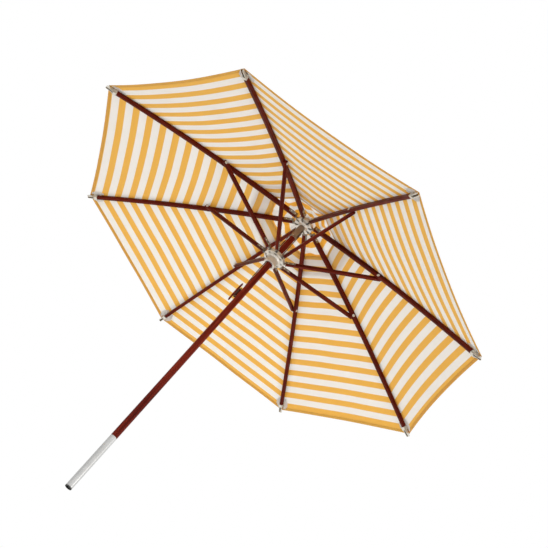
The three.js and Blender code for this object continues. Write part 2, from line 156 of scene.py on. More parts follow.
class Finish:  # a material, or the sky, and the nodes in it
    def __init__(self, name, kind="materials"):
        self.holder = getattr(bpy.data, kind).new(name)
        self.holder.use_nodes = True
        self.tree = self.holder.node_tree
        self.tree.nodes.clear()

    def node(self, kind, settings=None, sockets=None, output=0):
        made = self.tree.nodes.new(kind)
        for name, value in (settings or {}).items():
            if name == "stops":
                self.setStops(made.color_ramp, value)
            else:
                setattr(made, name, value)
        for name, value in (sockets or {}).items():
            if isinstance(value, Wire):
                self.tree.links.new(value.socket, made.inputs[name])
            else:
                made.inputs[name].default_value = value
        return Wire(self, made.outputs[output]) if made.outputs else None

    def setStops(self, ramp, stops):
        while len(ramp.elements) > 1:
            ramp.elements.remove(ramp.elements[-1])
        for number, (place, tint) in enumerate(stops):
            stop = ramp.elements[0] if number == 0 else ramp.elements.new(place)
            stop.position = place
            stop.color = (*tint, 1)

    def close(self, shader, kind="ShaderNodeOutputMaterial"):
        self.node(kind, None, {"Surface": shader})
        return self.holder

    def mix(self, share, first, second):  # sockets 6 and 7 are the colours, and output 2 is their mix
        colours = {0: share, 6: (*first, 1), 7: (*second, 1)}
        return self.node("ShaderNodeMix", {"data_type": "RGBA"}, colours, 2)

    def shade(self, tint, amount):  # multiplies a colour by a grey
        grey = self.node("ShaderNodeCombineXYZ", None, {"X": amount, "Y": amount, "Z": amount})
        return self.node("ShaderNodeVectorMath", {"operation": "MULTIPLY"}, {0: tint, 1: grey})

    def place(self, uvName=None):  # where a point is: on the named layout, or in the object
        if uvName:
            return self.node("ShaderNodeUVMap", {"uv_map": uvName})
        return self.node("ShaderNodeTexCoord", None, None, "Object")

    def stretch(self, where, scale, shift=(0, 0, 0)):
        return self.node("ShaderNodeMapping", None, {"Vector": where, "Location": shift, "Scale": scale})

    def noise(self, where, scale, detail=3.0, rough=0.5):
        return self.node("ShaderNodeTexNoise", {"noise_dimensions": "3D"}, {
            "Vector": where, "Scale": scale, "Detail": detail, "Roughness": rough})

    def part(self, where, axis):
        return self.node("ShaderNodeSeparateXYZ", None, {"Vector": where}, axis)

    def ramp(self, value, low, high, fromLow=0.0, fromHigh=1.0):
        return self.node("ShaderNodeMapRange", None, {
            "Value": value, "From Min": fromLow, "From Max": fromHigh, "To Min": low, "To Max": high})

    def bump(self, height, strength, distance):
        return self.node("ShaderNodeBump", None, {
            "Strength": strength, "Distance": distance, "Height": height})

    def surface(self, sockets):
        return self.node("ShaderNodeBsdfPrincipled", None, sockets)

    def either(self, share, first, second):  # one shader or the other, by share
        return self.node("ShaderNodeMixShader", None, {0: share, 1: first, 2: second})


wood = {
    "tones": (  # from the dark of the grain to its light
        (0.30, (0.034, 0.0026, 0.0012)),
        (0.50, (0.098, 0.0088, 0.0036)),
        (0.72, (0.185, 0.0220, 0.0085)),
    ),
    "ribLift": 1.02,  # how much lighter than the tones
    "poleLift": 1.65,
    "streaks": (2.2, 60, 1),  # along the grain, across it
    "bands": (0.7, 17, 1),
    "pores": (9, 420, 1),
    "gloss": 0.34,
    "shine": 0.07,
    "relief": 0.0003,
}


def varnishedWood(name, lift):
    finish = Finish(name)
    where = finish.place("grain")
    streaks = finish.noise(finish.stretch(where, wood["streaks"]), 1.2, 2.0)
    bands = finish.noise(finish.stretch(where, wood["bands"], (3.1, 0.7, 0)), 1.6, 2.0)
    pores = finish.noise(finish.stretch(where, wood["pores"]), 3.0, 2.0, 0.7)
    tints = [(place, tuple(part * lift for part in tint)) for place, tint in wood["tones"]]
    colour = finish.node("ShaderNodeValToRGB", {"stops": tints}, {0: streaks * 0.6 + bands * 0.4})
    poreMask = finish.ramp(pores, 0.0, 1.0, 0.60, 0.72)
    wear = finish.noise(finish.place(), 14.0)
    return finish.close(finish.surface({
        "Base Color": finish.shade(colour, 1 - poreMask * 0.15),
        "Roughness": finish.ramp(wear, wood["gloss"] - 0.07, wood["gloss"] + 0.12),
        "Specular IOR Level": wood["shine"],
        "Normal": finish.bump(streaks * 0.4 - poreMask * 0.5, 0.10, wood["relief"])}))


metals = {
    "brushedTube": {"tint": (0.62, 0.62, 0.61), "rough": 0.30, "grain": (90, 90, 2.0), "amount": 0.06},
    # the fittings' tint is partly the metal's own dark colour and partly painted reflection: darkened to
    # stand in for the dark surroundings their sides reflect
    "darkFittingPaintedReflection": {"tint": (0.27, 0.235, 0.20), "rough": 0.26, "grain": (60, 60, 60), "amount": 0.18},
    "sleeveMetal": {"tint": (0.38, 0.29, 0.22), "rough": 0.32, "grain": (90, 90, 3.0), "amount": 0.08},
    "screwMetal": {"tint": (0.70, 0.67, 0.60), "rough": 0.27, "grain": (400, 400, 400), "amount": 0.10},
}
metalWear = {"dull": 0.84, "blotches": 23.0, "scratches": (30, 30, 160), "relief": 0.0002}


def wornMetal(name):
    metal = metals[name]
    finish = Finish(name)
    where = finish.place()
    lines = finish.noise(finish.stretch(where, metal["grain"]), 1.0, 4.0, 0.6)
    blotches = finish.noise(where, metalWear["blotches"], 1.0)
    marks = finish.noise(finish.stretch(where, metalWear["scratches"]), 1.3, 2.0)
    scratches = finish.ramp(marks, 0.0, 1.0, 0.62, 0.75)
    dull = tuple(part * metalWear["dull"] for part in metal["tint"])
    rough = finish.ramp(lines, metal["rough"] - metal["amount"] / 2, metal["rough"] + metal["amount"])
    return finish.close(finish.surface({
        "Base Color": finish.mix(finish.ramp(blotches, 0.0, 0.7, 0.35, 0.75), metal["tint"], dull),
        "Metallic": 1.0,
        "Roughness": rough + blotches * 0.08 - scratches * 0.06,
        "Normal": finish.bump(lines + scratches * 0.6, 0.04, metalWear["relief"])}))


casting = {
    "tint": (0.70, 0.655, 0.59), "stain": (0.36, 0.31, 0.255), "rough": 0.36, "metallic": 0.85,
    "skin": 420.0, "cloud": 34.0, "relief": 0.0005,
}


def castMetal():
    finish = Finish("castAlloy")
    where = finish.place()
    skin = finish.noise(where, casting["skin"], 3.0, 0.6)
    cloud = finish.noise(where, casting["cloud"], 4.0, 0.6)
    stain = finish.ramp(cloud, 0.0, 0.55, 0.50, 0.80)
    return finish.close(finish.surface({
        "Base Color": finish.mix(stain, casting["tint"], casting["stain"]),
        "Metallic": casting["metallic"],
        "Roughness": finish.ramp(skin, casting["rough"] - 0.10, casting["rough"] + 0.14),
        "Normal": finish.bump(skin + cloud * 0.5, 0.25, casting["relief"])}))


plastic = {
    "tint": (0.070, 0.070, 0.072), "scuffed": (0.19, 0.185, 0.18),
    "grain": 600.0, "scuffs": (40, 40, 200), "relief": 0.0003,
}


def mouldedPlastic():
    finish = Finish("footPlastic")
    where = finish.place()
    grain = finish.noise(where, plastic["grain"], 2.0)
    scuff = finish.noise(finish.stretch(where, plastic["scuffs"]), 1.0, 4.0, 0.7)
    mask = finish.ramp(scuff, 0.0, 1.0, 0.55, 0.75)
    return finish.close(finish.surface({
        "Base Color": finish.mix(mask, plastic["tint"], plastic["scuffed"]),
        "Roughness": finish.ramp(grain, 0.42, 0.62),
        "Normal": finish.bump(grain, 0.2, plastic["relief"])}))


rope = {
    "radius": 0.0025,
    "braid": 0.012,  # length of one turn of the braid
    "lobes": 4,
    # dark is painted shade in the braid's grooves and light is painted highlight on its crests
    "dark": (0.020, 0.0055, 0.003),
    "light": (0.090, 0.028, 0.014),
    "relief": 0.0006,
    "spacing": 0.0016,
    "reach": 0.027,  # from the pole's axis to the rope over the sheave
    "sheaveHeight": 2.047,
    "cleatHeight": 1.470,
    "strands": (0.024, 0.0269, 0.0304, 0.033),  # the turns on the cleat, out from the pole's axis
    "wrap": 0.027,
    "aside": 0.0080,
}


def braidedCord():
    finish = Finish("braidedRope")
    where = finish.place("lay")
    along = finish.part(where, "X") * (2 * math.pi / rope["braid"])
    around = finish.part(where, "Y") * (2 * math.pi * rope["lobes"])
    weave = reckon("MAXIMUM", reckon("SINE", along + around), reckon("SINE", along - around))
    fluff = finish.noise(finish.place(), 900.0)
    # shine mixes the colour from the braid's relief: painted highlight on its crests and painted shade in its
    # grooves, with random fibre tone from the fluff
    shine = finish.ramp(weave + fluff * 0.5, 0.0, 1.0, -0.4, 1.2)
    return finish.close(finish.surface({
        "Base Color": finish.mix(shine, rope["dark"], rope["light"]),
        "Roughness": finish.ramp(fluff, 0.62, 0.86),
        "Sheen Weight": 0.12,
        "Normal": finish.bump(weave + fluff * 0.4, 0.5, rope["relief"])}))


canvas = {
    "yellow": (0.885, 0.590, 0.140),
    "cream": (0.900, 0.880, 0.850),
    "tape": (0.870, 0.540, 0.120),
    # tongue is painted shade: dark brown for the shadow on the cloth's corner inside the tip's prongs
    "tongue": (0.20, 0.10, 0.022),
    "glow": 0.40,  # share of the light that comes through the cloth
    "capGlow": 0.56,
    "creamShare": 0.535,  # share of the stripes that is cream
    "stripe": 0.084,  # width of a cream and a yellow stripe
    "softness": 0.010,  # of a stripe's edge, as a share of the two stripes
    "threads": 1100.0,
    "stitch": 0.004,
    "rough": 0.82,
    "shine": 0.18,
    "fuzz": 0.08,
    "relief": 0.0005,
}


def wovenCloth(finish, weave, tint, shadeBy, glow):
    body = finish.surface({
        "Base Color": finish.shade(tint, shadeBy), "Roughness": canvas["rough"],
        "Specular IOR Level": canvas["shine"], "Sheen Weight": canvas["fuzz"], "Normal": weave})
    through = finish.node("ShaderNodeBsdfTranslucent", None, {"Color": (*tint, 1)})
    return finish.either(glow, body, through)


def clothGrain(finish, along, across):  # how light the cloth is, and its weave as a normal
    threads = canvas["threads"] * 2 * math.pi
    weave = reckon("SINE", along * threads) * reckon("SINE", across * threads)
    slubs = finish.noise(finish.place(), 260.0, 3.0, 0.6)
    cloud = finish.noise(finish.place(), 9.0)
    shadeBy = finish.ramp(slubs, 0.955, 1.03) * finish.ramp(cloud, 0.965, 1.02)
    return shadeBy, finish.bump(weave * 0.5 + slubs, 0.22, canvas["relief"])


def stripedCanvas(name, glow):
    finish = Finish(name)
    where = finish.place("cut")
    along = finish.part(where, "X")  # counted in stripes
    shadeBy, weave = clothGrain(finish, along * canvas["stripe"], finish.part(where, "Y"))
    wobble = finish.noise(finish.stretch(where, (0.0, 30, 1)), 4.0, 2.0)
    phase = reckon("FRACT", along + (wobble - 0.5) * 0.02 + 40.0)  # whole stripes keep it above zero
    share, soft = canvas["creamShare"], canvas["softness"]
    rise = finish.ramp(phase, 0.0, 1.0, 0.0, soft)
    fall = finish.ramp(phase, 1.0, 0.0, share - soft / 2, share + soft / 2)
    cream = wovenCloth(finish, weave, canvas["cream"], shadeBy, glow)
    yellow = wovenCloth(finish, weave, canvas["yellow"], shadeBy, glow)
    return finish.close(finish.either(rise * fall, yellow, cream))


def stitchedTape(name, tint):
    finish = Finish(name)
    where = finish.place("cut")
    along, across = finish.part(where, "X"), finish.part(where, "Y")
    shadeBy, weave = clothGrain(finish, along, across)
    stitch = reckon("FRACT", along / canvas["stitch"] + 400.0)
    row = abs(across - 0.5) > 0.30  # along both edges
    thread = (stitch < 0.62) * row
    return finish.close(wovenCloth(finish, weave, tint, shadeBy * (1 - thread * 0.16), canvas["glow"]))


# uvs has one place for each point, or one for each corner of each face
def makePiece(name, points, faces, material, smoothAngle, uvName=None, uvs=None, normals=None):
    mesh = bpy.data.meshes.new(name)
    mesh.from_pydata([tuple(point) for point in points], [], faces)
    if uvName:
        layer = mesh.uv_layers.new(name=uvName)
        for polygon in mesh.polygons:
            for loop in polygon.loop_indices:
                index = mesh.loops[loop].vertex_index if len(uvs) == len(points) else loop
                layer.data[loop].uv = uvs[index]
    mesh.polygons.foreach_set("use_smooth", [True] * len(mesh.polygons))
    if normals:
        mesh.normals_split_custom_set(normals)
    else:
        mesh.set_sharp_from_angle(angle=math.radians(smoothAngle))
    mesh.materials.append(material)
    piece = bpy.data.objects.new(name, mesh)
    bpy.context.scene.collection.objects.link(piece)
    return piece


class Lump:  # collects rings and turned shapes into one mesh
    def __init__(self):
        self.points = []
        self.faces = []
        self.uvs = []

    def skin(self, rings, uvs=None):  # joins each ring to the next and closes both ends
        start = len(self.points)
        size = len(rings[0])
        for number, ring in enumerate(rings):
            self.points += ring
            self.uvs += uvs[number] if uvs else [(0, 0)] * size
        for i in range(len(rings) - 1):
            for j in range(size):
                a = start + i * size + j
                b = start + i * size + (j + 1) % size
                self.faces.append((a, b, b + size, a + size))
        last = len(self.points) - size
        self.faces.append(tuple(reversed(range(start, start + size))))
        self.faces.append(tuple(range(last, last + size)))

    def lathe(self, profile, matrix, sides):
        turns = [2 * math.pi * j / sides for j in range(sides)]
        rings = []
        uvs = []
        for radius, height in profile:
            ring = [Vector((radius * math.cos(t), radius * math.sin(t), height)) for t in turns]
            rings.append([matrix @ point for point in ring])
            uvs.append([(height, radius * t) for t in turns])
        self.skin(rings, uvs)

    def piece(self, name, material, slot, smoothAngle, uvName=None):
        return makePiece(name, self.points, self.faces, material, smoothAngle,
                         uvName, self.uvs if uvName else None)


def spoke(number):  # turns a shape on the X axis to the numbered rib
    return Matrix.Rotation((number - 1) * 2 * halfGore, 4, "Z")


def evenSteps(start, end, count):
    return [start + (end - start) * i / count for i in range(count + 1)]


def roundedBox(width, depth, corner):
    steps = 3
    ring = []
    for turn, (toSide, toTop) in enumerate([(1, 1), (-1, 1), (-1, -1), (1, -1)]):
        for step in range(steps + 1):
            angle = math.radians(90 * turn + 90 * step / steps)
            ring.append((toSide * (width / 2 - corner) + corner * math.cos(angle),
                         toTop * (depth / 2 - corner) + corner * math.sin(angle)))
    return ring


# a bar of rounded section along stations of (middle, across, up, width, depth)
def barRings(stations, corner, shift):
    rings = []
    uvs = []
    travelled = 0.0
    before = stations[0][0]
    for middle, across, up, width, depth in stations:
        travelled += (middle - before).length
        before = middle
        ring = roundedBox(width, depth, corner)
        rings.append([middle + across * a + up * b for a, b in ring])
        edge = 0.0
        line = []
        for j, (a, b) in enumerate(ring):
            if j:
                edge += math.hypot(a - ring[j - 1][0], b - ring[j - 1][1])
            line.append((travelled + shift, edge + shift))
        uvs.append(line)
    return rings, uvs


def easedEnds(stations, corner):  # a small round-over at both ends of a bar
    first, last = stations[0], stations[-1]
    run = (stations[1][0] - first[0]).normalized()
    lead = (last[0] - stations[-2][0]).normalized()
    trim = corner * 0.7
    start = (*first[:3], first[3] - 2 * trim, first[4] - 2 * trim)
    end = (*last[:3], last[3] - 2 * trim, last[4] - 2 * trim)
    inner = (first[0] + run * trim, *first[1:])
    outer = (last[0] - lead * trim, *last[1:])
    return [start, inner, *stations[1:-1], outer, end]


ribFacts = {
    "slope": 0.3295, "bow": 0.0479, "drop": 0.005,  # the rib's line, out from the strut's bolt
    "endReach": 1.303, "width": 0.020, "innerDepth": 0.028, "outerDepth": 0.022,
    "corner": 0.0028, "lift": 0.0105, "steps": 26, "grainShift": 1.37,
}
strutFacts = {
    "width": 0.018, "depth": 0.022, "corner": 0.0026, "steps": 14, "grainShift": 2.11,
    "overrun": 0.018,  # past the bolt
    "nose": (0.25, 0.6, 0.9),  # where the overrun is rounded off, as shares of it
}
woodStart = 0.026  # wood begins this far from a pin
strutTilt = math.atan2(strutBolt.z - runnerPin.z, strutBolt.x - runnerPin.x)
strutLength = math.hypot(strutBolt.z - runnerPin.z, strutBolt.x - runnerPin.x)


def ribLine(reach):
    out = reach - strutBolt.x
    return strutBolt.z + ribFacts["drop"] - ribFacts["slope"] * out - ribFacts["bow"] * out * out


def ribTilt(reach):
    return math.atan(ribFacts["slope"] + 2 * ribFacts["bow"] * (reach - strutBolt.x))


def makeRib(number, material):
    tilt = ribTilt(hubPin.x)
    start = hubPin.x + woodStart * math.cos(tilt) + ribFacts["lift"] * math.sin(tilt)
    stations = []
    for i in range(ribFacts["steps"] + 1):
        share = i / ribFacts["steps"]
        reach = start + (ribFacts["endReach"] - start) * share
        angle = ribTilt(reach)
        depth = ribFacts["innerDepth"] + (ribFacts["outerDepth"] - ribFacts["innerDepth"]) * share
        up = Vector((math.sin(angle), 0, math.cos(angle)))
        stations.append((Vector((reach, 0, ribLine(reach))), sideways, up, ribFacts["width"], depth))
    rings, uvs = barRings(easedEnds(stations, ribFacts["corner"]), ribFacts["corner"],
                          number * ribFacts["grainShift"])
    lump = Lump()
    lump.skin([[spoke(number) @ point for point in ring] for ring in rings], uvs)
    piece = lump.piece(f"ribWood_{number}", material, "stained_wood", 40, "grain")
    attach(piece, f"rib_{number}")
    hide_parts(f"rib_{number}")


def strutPlace(number):  # turns a shape on the X axis to the numbered strut
    return spoke(number) @ Matrix.Translation(runnerPin) @ Matrix.Rotation(-strutTilt, 4, "Y")


def makeStrut(number, material):
    width, depth, overrun = strutFacts["width"], strutFacts["depth"], strutFacts["overrun"]
    end = strutLength + overrun
    stations = []
    for i in range(strutFacts["steps"] + 1):
        along = woodStart + (end - woodStart) * i / strutFacts["steps"]
        if along <= strutLength:
            stations.append((Vector((along, 0, 0)), sideways, upward, width, depth))
    for past in strutFacts["nose"]:
        share = math.sqrt(max(0.05, 1 - past ** 4))
        middle = Vector((strutLength + overrun * past, 0, -depth * 0.06 * past))
        stations.append((middle, sideways, upward, width, depth * share))
    rings, uvs = barRings(easedEnds(stations, strutFacts["corner"]), strutFacts["corner"],
                          number * strutFacts["grainShift"])
    lump = Lump()
    lump.skin([[strutPlace(number) @ point for point in ring] for ring in rings], uvs)
    piece = lump.piece(f"strutWood_{number}", material, "stained_wood", 40, "grain")
    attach(piece, f"strut_{number}")
    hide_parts(f"strut_{number}")


screws = {
    "headRadius": 0.0034, "headRise": 0.0017, "socket": 0.0014,
    "plate": 0.0019,  # thickness of the bracket under the heads
    "places": (0.040, 0.068),  # out from the pin
}


def screwProfile(radius, rise, socket):
    return [
        (radius * 1.30, -0.0004), (radius * 1.30, 0.0004), (radius, 0.0005), (radius * 0.97, rise * 0.45),
        (radius * 0.80, rise * 0.80), (socket * 1.25, rise), (socket, rise * 0.92),
        (socket * 0.9, rise * 0.25), (pointed, rise * 0.22),
    ]


def facingSide(side):  # turns a shape's own axis to point sideways
    return Matrix.Rotation(math.radians(-90 * side), 4, "X")


def addScrews(lump, place, height, offset):
    profile = screwProfile(screws["headRadius"], screws["headRise"], screws["socket"])
    for along in screws["places"]:
        for side in (-1, 1):
            spot = Matrix.Translation((along, side * offset, height))
            lump.lathe(profile, place @ spot @ facingSide(side), 14)


bolt = {
    "radius": 0.0070, "rise": 0.0042, "washer": 0.0090, "washerRise": 0.0011, "shank": 0.0036, "play": 0.0003,
}


def domedHead():
    radius, rise, step = bolt["radius"], bolt["rise"], bolt["washerRise"]
    dome = [(bolt["washer"], -0.0002), (bolt["washer"], step), (radius, step), (radius, step + rise * 0.25)]
    for i in range(1, 7):
        angle = math.radians(15 * i)
        dome.append((max(pointed, radius * math.cos(angle)), step + rise * (0.25 + 0.75 * math.sin(angle))))
    return dome


def makeRibFixings(number, material):
    bracket = (spoke(number) @ Matrix.Translation((hubPin.x, 0, hubPin.z))
               @ Matrix.Rotation(ribTilt(hubPin.x), 4, "Y"))
    joint = spoke(number) @ Matrix.Translation((strutBolt.x, 0, strutBolt.z))
    head = joint @ Matrix.Translation((0, -ribFacts["width"] / 2, 0))
    nutReach = runnerPin.y + strutFacts["width"] / 2 + bolt["play"]
    lump = Lump()
    addScrews(lump, bracket, ribFacts["lift"], ribFacts["width"] / 2 + screws["plate"])
    lump.lathe(domedHead(), head @ facingSide(-1), 24)
    lump.lathe(domedHead(), joint @ Matrix.Translation((0, nutReach, 0)) @ facingSide(1), 24)
    shank = [(bolt["shank"], 0.0), (bolt["shank"], nutReach + ribFacts["width"] / 2)]
    lump.lathe(shank, head @ facingSide(1), 12)
    piece = lump.piece(f"ribFixings_{number}", material, "fitting_steel", 30)
    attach(piece, f"rib_{number}")


def makeStrutScrews(number, material):
    lump = Lump()
    addScrews(lump, strutPlace(number), 0.0, strutFacts["width"] / 2 + screws["plate"])
    piece = lump.piece(f"strutScrews_{number}", material, "fitting_steel", 30)
    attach(piece, f"strut_{number}")


rivet = {
    "outline": ((0.0030, -0.0002), (0.0030, 0.0007), (0.0022, 0.0014), (pointed, 0.0017)),
    "places": ((0.040, 0.009), (-0.009, 0.0119)),  # along the tip, and out to its side
    "shank": 0.0016, "shankHalf": 0.0055,
}


def tipPlace(number):
    reach = ribFacts["endReach"]
    return (spoke(number) @ Matrix.Translation((reach, 0, ribLine(reach)))
            @ Matrix.Rotation(ribTilt(reach), 4, "Y"))


def makeTipRivets(number, material):
    lump = Lump()
    place = tipPlace(number)
    for side in (-1, 1):
        for along, out in rivet["places"]:
            spot = Matrix.Translation((along, side * out, 0))
            lump.lathe(rivet["outline"], place @ spot @ facingSide(side), 12)
    shank = [(rivet["shank"], -rivet["shankHalf"]), (rivet["shank"], rivet["shankHalf"])]
    middle = Matrix.Translation((rivet["places"][0][0], 0, 0))
    lump.lathe(shank, place @ middle @ facingSide(1), 10)
    piece = lump.piece(f"tipRivets_{number}", material, "fitting_steel", 30)
    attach(piece, f"rib_{number}")


pole = {
    "sides": 64, "steps": 40, "ease": 0.0009, "gap": 0.0003, "wall": 0.0024,
    "slotHalf": 0.0052, "slotReach": 0.0325, "slotDepth": 0.04,  # half its width, height and depth
    "screw": (0.0031, 0.0015, 0.0013),
    "tubeScrew": (0.275, 218),  # height, and degrees round the pole
    "sleeveScrews": (0.012, (45, 225)),  # height above the sleeve's edge, and degrees
}


def boxRadius(node):
    low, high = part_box(node)
    return (high.x - low.x) / 2


def cutSlot(piece):  # the sheave's slot, cut right through
    low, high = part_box("sheave")
    middle = (low.z + high.z) / 2
    half, reach, depth = pole["slotHalf"], pole["slotReach"], pole["slotDepth"]
    ring = [hoistTurn @ Vector(corner) for corner in
            ((half, -depth, middle), (half, depth, middle), (-half, depth, middle), (-half, -depth, middle))]
    lump = Lump()
    lump.skin([[point + upward * rise for point in ring] for rise in (-reach, reach)])
    mesh = bpy.data.meshes.new("slotTool")
    mesh.from_pydata([tuple(point) for point in lump.points], [], lump.faces)
    tool = bpy.data.objects.new("slotTool", mesh)
    bpy.context.scene.collection.objects.link(tool)
    cutter = piece.modifiers.new("slot", "BOOLEAN")
    cutter.operation = "DIFFERENCE"
    cutter.object = tool
    cutter.solver = "EXACT"
    graph = bpy.context.evaluated_depsgraph_get()
    made = bpy.data.meshes.new_from_object(piece.evaluated_get(graph))
    piece.modifiers.clear()
    piece.data = made
    made.polygons.foreach_set("use_smooth", [True] * len(made.polygons))
    made.set_sharp_from_angle(angle=math.radians(35))
    bpy.data.objects.remove(tool)
    bpy.data.meshes.remove(mesh)


def makePoleWood(material):
    radius = boxRadius("foot_tube")
    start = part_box("foot_tube")[1].z
    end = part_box("pole_wood")[1].z
    low, high = start + 0.0012, end - 0.0035
    profile = [(radius - pole["ease"], start + pole["gap"]), (radius, low)]
    profile += [(radius, low + (high - start) * i / pole["steps"]) for i in range(1, pole["steps"])]
    profile += [(radius, end - 0.002), (radius - pole["ease"], end)]
    lump = Lump()
    lump.lathe(profile, Matrix(), pole["sides"])
    piece = lump.piece("poleWood", material, "stained_wood", 40, "grain")
    cutSlot(piece)
    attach(piece, "pole")
    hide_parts("pole_wood")


def makeFootTube(material):
    radius = boxRadius("foot_tube")
    low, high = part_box("foot_tube")
    inner = radius - pole["wall"]
    lump = Lump()
    lump.lathe([
        (inner, low.z), (radius - 0.0004, low.z), (radius, low.z + 0.0006),
        (radius, high.z - 0.0010), (radius - 0.0006, high.z), (inner, high.z)], Matrix(), pole["sides"])
    piece = lump.piece("footTube", material, "tube_metal", 30)
    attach(piece, "pole")
    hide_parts("foot_tube")


def makeFootPlug(material):
    radius = boxRadius("foot_tube")
    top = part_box("foot_plug")[1].z
    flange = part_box("foot_tube")[0].z - pole["gap"]
    inner = radius - pole["wall"] - pole["gap"]
    lump = Lump()
    lump.lathe([
        (pointed, 0.0016), (radius * 0.55, 0.0016), (radius * 0.60, 0.0), (radius - 0.0018, 0.0),
        (radius - 0.0005, 0.0006), (radius, 0.0019), (radius, flange - 0.0004), (radius - 0.0004, flange),
        (inner, flange), (inner, top - 0.002), (inner - 0.002, top), (pointed, top)], Matrix(), 48)
    piece = lump.piece("footPlug", material, "foot_plastic", 30)
    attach(piece, "pole")
    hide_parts("foot_plug")


def makeHeadSleeve(material):
    low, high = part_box("head_sleeve")
    radius = boxRadius("head_sleeve")
    bore = boxRadius("foot_tube") + pole["gap"]
    lump = Lump()
    lump.lathe([
        (bore, low.z), (radius - 0.0006, low.z), (radius, low.z + 0.0008),
        (radius, high.z - 0.0008), (radius - 0.0006, high.z), (bore, high.z)], Matrix(), pole["sides"])
    piece = lump.piece("headSleeve", material, "sleeve_metal", 30)
    cutSlot(piece)
    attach(piece, "pole")
    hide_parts("head_sleeve")


def makePoleScrews(material):
    above, turns = pole["sleeveScrews"]
    places = [(*pole["tubeScrew"], boxRadius("foot_tube"))]
    places += [(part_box("head_sleeve")[0].z + above, turn, boxRadius("head_sleeve")) for turn in turns]
    lump = Lump()
    for height, turn, reach in places:
        spot = Matrix.Translation((0, 0, height)) @ Matrix.Rotation(math.radians(turn), 4, "Z")
        spot = spot @ Matrix.Translation((reach, 0, 0)) @ Matrix.Rotation(math.radians(90), 4, "Y")
        lump.lathe(screwProfile(*pole["screw"]), spot, 16)
    piece = lump.piece("poleScrews", material, "fitting_steel", 30)
    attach(piece, "pole")


finial = {
    "height": 0.053, "stem": 0.008,
    "outline": (  # radius, and height above the pole's end
        (0.0255, 0.0), (0.0268, 0.0012), (0.0270, 0.0024), (0.0255, 0.0048), (0.0190, 0.0066),
        (0.0135, 0.0092), (0.0108, 0.0120), (0.0102, 0.0145), (0.0118, 0.0172), (0.0148, 0.0200),
        (0.0172, 0.0245), (0.0187, 0.0300), (0.0186, 0.0350), (0.0172, 0.0405), (0.0140, 0.0455),
        (0.0095, 0.0498), (0.0048, 0.0522), (pointed, 0.0530)),
}


def makeFinial(material):
    low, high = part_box("finial")
    seat = high.z - finial["height"]
    profile = [(pointed, low.z), (finial["stem"], low.z), (finial["stem"], seat)]
    profile += [(radius, seat + height) for radius, height in finial["outline"]]
    lump = Lump()
    lump.lathe(profile, Matrix(), 48)
    piece = lump.piece("finialWood", material, "stained_wood", 40, "grain")
    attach(piece, "pole")
    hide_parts("finial")


cleat = {
    "base": 0.0198, "outer": 0.0500,
    "hornWidth": 0.0062, "widthSwell": 0.0036,  # at the ends, and how much more in the middle
    "hornDepth": 0.0060, "depthSwell": 0.0034,
    "hornInset": 0.0048, "hornBow": 0.0020, "hornSteps": 24, "hornCorner": 0.0018,
    "neckWidth": 0.0096, "neckInset": 0.0075, "neckCorner": 0.0016,
    "neck": ((0, 0.056), (0.18, 0.050), (0.38, 0.042), (0.70, 0.040), (0.90, 0.048), (1.0, 0.056)),
    "screw": (0.0030, 0.0014, 0.0012), "screwSpread": 0.012,
}


def makeCleat(material):
    low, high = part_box("rope_cleat")
    middle = (low.z + high.z) / 2
    half = (high.z - low.z) / 2
    base, outer = cleat["base"], cleat["outer"]
    horns = []  # a bar along the pole, thicker in the middle
    for share in evenSteps(-1, 1, cleat["hornSteps"]):
        swell = math.sqrt(max(0.0, 1 - abs(share) ** 4))
        reach = outer - cleat["hornInset"] - cleat["hornBow"] * share * share
        horns.append((Vector((0, reach, middle + share * (half - 0.001))), outward, sideways,
                      cleat["hornWidth"] + cleat["widthSwell"] * swell,
                      cleat["hornDepth"] + cleat["depthSwell"] * swell))
    neck = []  # the foot and the neck that stand it off the pole
    for share, tall in cleat["neck"]:
        reach = base + (outer - cleat["neckInset"] - base) * share
        neck.append((Vector((0, reach, middle)), outward, upward, cleat["neckWidth"], tall))
    lump = Lump()
    rings, uvs = barRings(easedEnds(horns, cleat["hornCorner"]), cleat["hornCorner"], 5.3)
    lump.skin([[hoistTurn @ point for point in ring] for ring in rings], uvs)
    rings, uvs = barRings(neck, cleat["neckCorner"], 7.9)
    lump.skin([[hoistTurn @ point for point in reversed(ring)] for ring in rings], uvs)
    piece = lump.piece("cleatWood", material, "stained_wood", 40, "grain")
    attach(piece, "pole")
    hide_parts("rope_cleat")


def makeCleatScrews(material):
    low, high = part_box("rope_cleat")
    middle = (low.z + high.z) / 2
    lump = Lump()
    for side in (-1, 1):
        place = Matrix.Translation((0, cleat["outer"] - 0.0002, middle + side * cleat["screwSpread"]))
        lump.lathe(screwProfile(*cleat["screw"]), hoistTurn @ place @ facingSide(1), 14)
    piece = lump.piece("cleatScrews", material, "fitting_steel", 30)
    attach(piece, "pole")


def ropeRoute():  # over the sheave, down the pole and round the cleat
    reach, cleatHeight = rope["reach"], rope["cleatHeight"]
    points = []
    for i in range(9):
        turn = i / 8 * math.pi
        points.append(Vector((0, -reach * math.cos(turn), rope["sheaveHeight"] + reach * math.sin(turn))))
    points += [Vector((0, reach, height)) for height in (1.950, 1.800, 1.650)]
    points += [Vector((0.002, 0.026, 1.590)), Vector((0.007, 0.0242, 1.530))]
    for number, out in enumerate(rope["strands"]):
        way = 1 if number % 2 else -1
        for share in (-1, 0, 1):
            points.append(Vector((-way * rope["aside"], out, cleatHeight + way * share * rope["wrap"])))
        if number < len(rope["strands"]) - 1:
            between = (out + rope["strands"][number + 1]) / 2
            points.append(Vector((0, between, cleatHeight + way * (rope["wrap"] + 0.010))))
    return [hoistTurn @ point for point in points]


